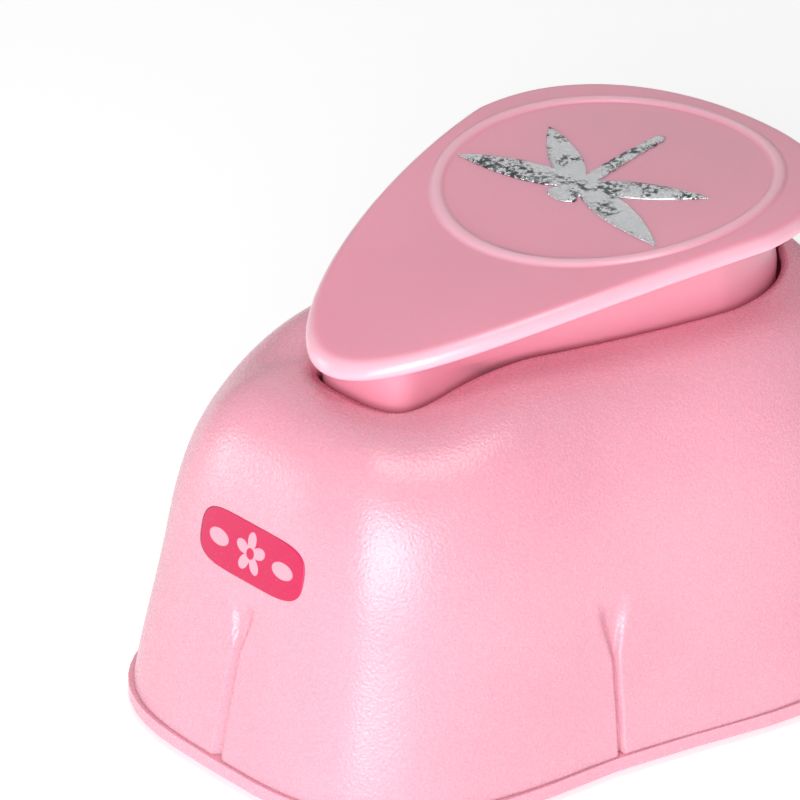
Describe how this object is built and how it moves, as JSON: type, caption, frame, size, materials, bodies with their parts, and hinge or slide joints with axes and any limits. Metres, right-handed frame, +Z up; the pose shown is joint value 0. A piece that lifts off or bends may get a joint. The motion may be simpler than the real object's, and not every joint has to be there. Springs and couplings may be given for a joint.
{
  "type": "craft punch",
  "caption": "Lever craft punch: rounded pink shell on a flat base, teardrop lever with a raised ring and a foil motif, and a sprung cutter over a front paper slot.",
  "frame": {"origin": "middle of the footprint at floor level, the underside of the foot pads", "axes": "+Z up, -Y towards the paper slot (front), +Y towards the hinge and the printed mark (rear), +X to the right seen from behind the slot"},
  "size_m": [0.0594, 0.0748, 0.0491],
  "materials": {
    "shell_plastic": "moulded ABS with a fine spark-eroded grain",
    "lever_plastic": "smooth satin moulded ABS",
    "chrome_foil": "hot-stamped chrome foil, slightly rippled",
    "printed_ink": "pad-printed magenta ink",
    "cast_zinc": "cast zinc, tumbled",
    "bright_steel": "bright plated steel",
    "spring_steel": "drawn spring wire",
    "tool_steel": "ground tool steel",
    "pad_plastic": "smooth natural acetal",
    "foot_rubber": "soft dull rubber"
  },
  "bodies": {
    "housing": {"body_shell": "shell_plastic", "maker_mark": "printed_ink", "base_cover": "shell_plastic", "foot_pads": "foot_rubber", "base_screws": "bright_steel", "die_plate": "cast_zinc", "gap_spacer_left": "bright_steel", "gap_spacer_right": "bright_steel", "paper_stop": "bright_steel", "guide_plate": "cast_zinc", "frame_rivets": "bright_steel", "guide_post_left": "bright_steel", "guide_post_right": "bright_steel", "post_clips": "bright_steel", "pivot_bracket": "cast_zinc", "bracket_screws": "bright_steel", "pivot_pin": "bright_steel", "pin_clips": "bright_steel", "return_spring_left": "spring_steel", "return_spring_right": "spring_steel"},
    "lever": {"lever_cap": "lever_plastic", "lever_arm": "lever_plastic", "press_pad": "pad_plastic", "motif_emblem": "chrome_foil"},
    "punch": {"cutter": "tool_steel", "pressure_plate": "cast_zinc", "cutter_rivets": "bright_steel"}
  },
  "joints": [
    {"name": "lever_hinge", "type": "hinge", "parent": "housing", "child": "lever", "pos_m": [0, 0.014, 0.03], "axis": [1, 0, 0], "range_deg": [0, 10.5], "stiffness_Nm_per_rad": 2, "springref_deg": -14.32},
    {"name": "cutter_slide", "type": "slide", "parent": "housing", "child": "punch", "axis": [0, 0, -1], "range_m": [0, 0.00495], "deforming": ["return_spring_left", "return_spring_right"]}
  ],
  "couplings": [
    {"joint": "cutter_slide", "follows": "lever_hinge", "m_per_rad": 0.027}
  ]
}
